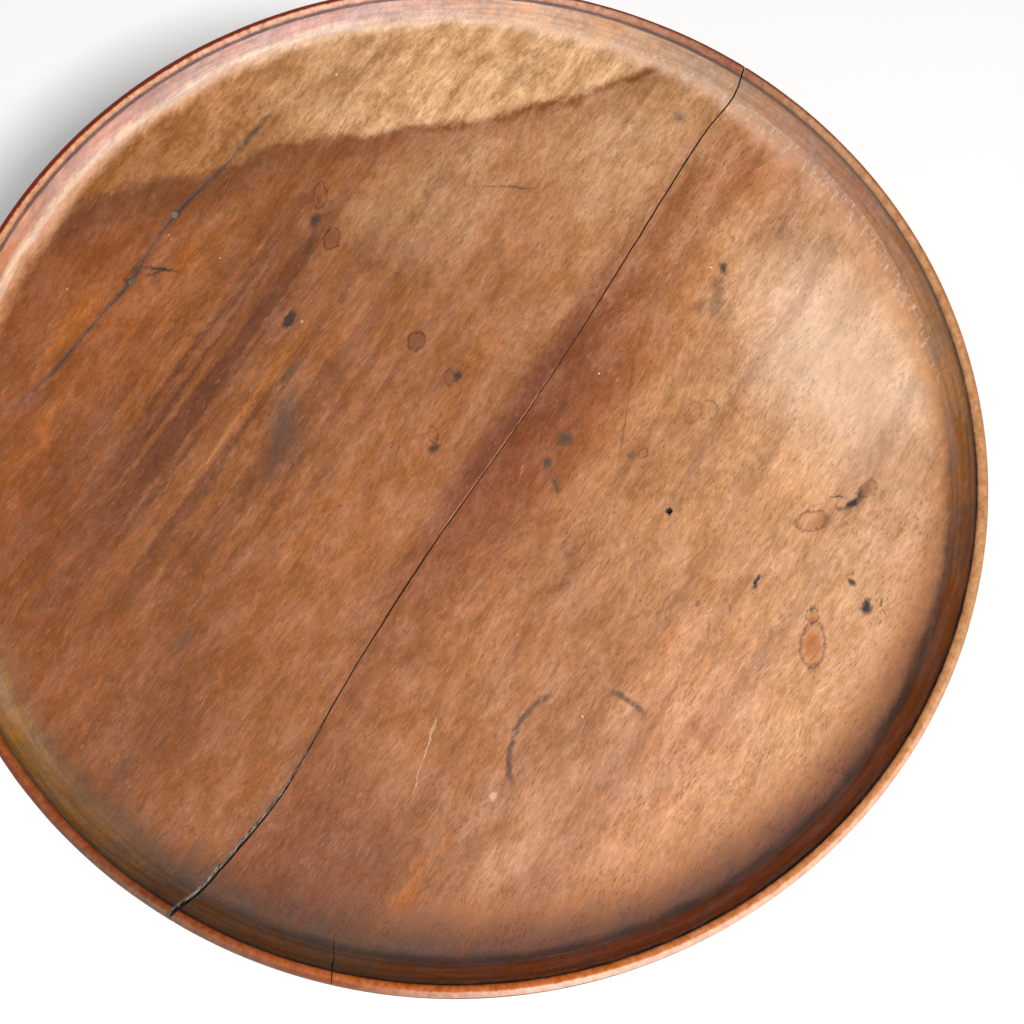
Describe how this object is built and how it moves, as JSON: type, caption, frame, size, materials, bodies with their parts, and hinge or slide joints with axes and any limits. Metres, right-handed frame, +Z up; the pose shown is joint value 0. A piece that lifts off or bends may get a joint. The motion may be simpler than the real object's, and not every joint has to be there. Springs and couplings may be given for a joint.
{
  "type": "tilt-top tripod wine table",
  "caption": "Small round tilt-top table: dished mahogany top with a moulded rim, split along its grain, on a turned column with cabriole legs and pad feet.",
  "frame": {"origin": "on the floor, on the axis of the column, which is the centre of the round top", "axes": "+Z up; X along the tilt axis and along the grain of the top; the back edge at +Y lifts and the tilted top faces -Y"},
  "size_m": [0.52, 0.52, 0.7],
  "materials": {
    "top_wood": "old wax polish, stained and worn, satin",
    "base_wood": "dark red-brown polish, satin, worn on edges and feet",
    "bearer_wood": "unpolished, dry and dusty",
    "block_wood": "unpolished, dry",
    "brass": "old tarnished brass, brighter where it is handled",
    "iron": "forged, dark and slightly rusted",
    "nail_metal": "dull grey-green",
    "spring_steel": "dark drawn wire"
  },
  "bodies": {
    "base": {"pivot_block": "block_wood", "keeper_plate": "brass", "keeper_screws": "brass", "column": "base_wood", "column_wedge": "block_wood", "leg_back": "base_wood", "leg_left": "base_wood", "leg_right": "base_wood", "leg_bracket": "iron", "bracket_nails": "iron"},
    "top": {"top_front_board": "top_wood", "top_back_board": "top_wood", "left_bearer": "bearer_wood", "right_bearer": "bearer_wood", "bearer_screws": "iron", "repair_nails": "nail_metal", "catch_plate": "brass", "catch_case": "brass", "catch_screws": "brass", "catch_spring": "spring_steel"},
    "catch": {"catch_bolt": "brass", "catch_knob": "brass"}
  },
  "joints": [
    {"name": "top_tilt", "type": "hinge", "parent": "base", "child": "top", "pos_m": [0, -0.0395, 0.6667], "axis": [1, 0, 0], "range_deg": [0, 90]},
    {"name": "catch_slide", "type": "slide", "parent": "top", "child": "catch", "axis": [0, 1, 0], "range_m": [0, 0.007], "stiffness_N_per_m": 400, "springref_m": -0.006, "deforming": ["catch_spring"]}
  ]
}
